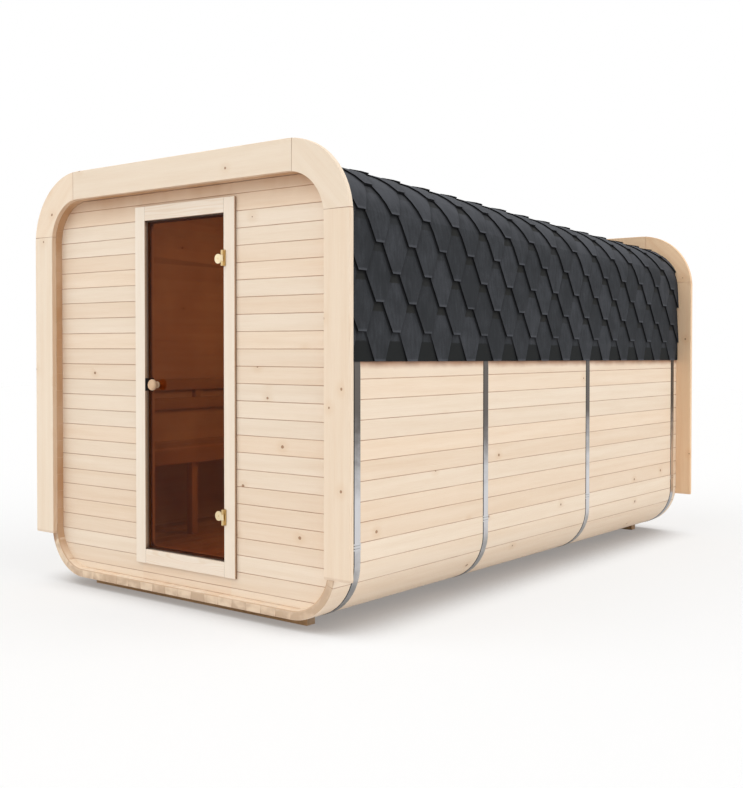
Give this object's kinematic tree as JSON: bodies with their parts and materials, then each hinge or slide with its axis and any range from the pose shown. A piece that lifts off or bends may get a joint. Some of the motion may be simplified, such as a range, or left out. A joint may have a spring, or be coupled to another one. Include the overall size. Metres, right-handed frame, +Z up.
{
  "type": "garden sauna",
  "caption": "Rounded-square outdoor sauna cabin of wooden staves with steel bands, falling shingle roof, curved fascia frames and a tinted glass door that swings outwards.",
  "frame": {"origin": "middle of the footprint, on the ground under the support beams", "axes": "+Y from the door end to the back end, along the length; +X to the right when facing the door; +Z up"},
  "size_m": [2.38, 4, 2.357],
  "materials": {
    "wall_wood": "planed spruce boards, clear and pale",
    "fascia_wood": "planed spruce, clear and pale",
    "frame_wood": "planed spruce, clear and pale",
    "inside_wood": "planed spruce, slightly darker",
    "beam_wood": "rough impregnated wood",
    "knob_wood": "turned and oiled wood",
    "roof_shingle": "mineral-coated bitumen, matt",
    "band_steel": "stainless strap, semi-bright",
    "hinge_brass": "satin brass",
    "bronze_glass": "bronze tinted toughened glass",
    "catch_plastic": "black plastic"
  },
  "bodies": {
    "cabin": {"shell_floor": "wall_wood", "shell_wall_left": "wall_wood", "shell_wall_right": "wall_wood", "shell_corner_bottom_left": "wall_wood", "shell_corner_bottom_right": "wall_wood", "shell_corner_top_left": "wall_wood", "shell_corner_top_right": "wall_wood", "shell_roof": "wall_wood", "front_wall_left": "wall_wood", "front_wall_right": "wall_wood", "front_wall_top": "wall_wood", "front_wall_bottom": "wall_wood", "back_wall": "wall_wood", "door_jamb_left": "frame_wood", "door_jamb_right": "frame_wood", "door_head": "frame_wood", "door_sill": "frame_wood", "door_catch": "catch_plastic", "hinge_plate_top": "hinge_brass", "hinge_plate_bottom": "hinge_brass", "fascia_front_top": "fascia_wood", "fascia_front_corner_left": "fascia_wood", "fascia_front_corner_right": "fascia_wood", "fascia_front_side_left": "fascia_wood", "fascia_front_side_right": "fascia_wood", "fascia_back_top": "fascia_wood", "fascia_back_corner_left": "fascia_wood", "fascia_back_corner_right": "fascia_wood", "fascia_back_side_left": "fascia_wood", "fascia_back_side_right": "fascia_wood", "steel_bands": "band_steel", "shingle_covering": "roof_shingle", "support_beams": "beam_wood", "floor_boards": "inside_wood", "floor_bearers": "inside_wood", "bench_top": "inside_wood", "bench_rails": "inside_wood", "bench_posts": "inside_wood", "backrest": "inside_wood"},
    "door": {"door_glass": "bronze_glass", "hinge_clip_top": "hinge_brass", "hinge_clip_bottom": "hinge_brass", "door_knob_outside": "knob_wood", "door_knob_inside": "knob_wood"}
  },
  "joints": [
    {"name": "door_hinge", "type": "hinge", "parent": "cabin", "child": "door", "pos_m": [0.322, -1.9575, 0], "axis": [0, 0, 1], "range_deg": [0, 110]}
  ]
}
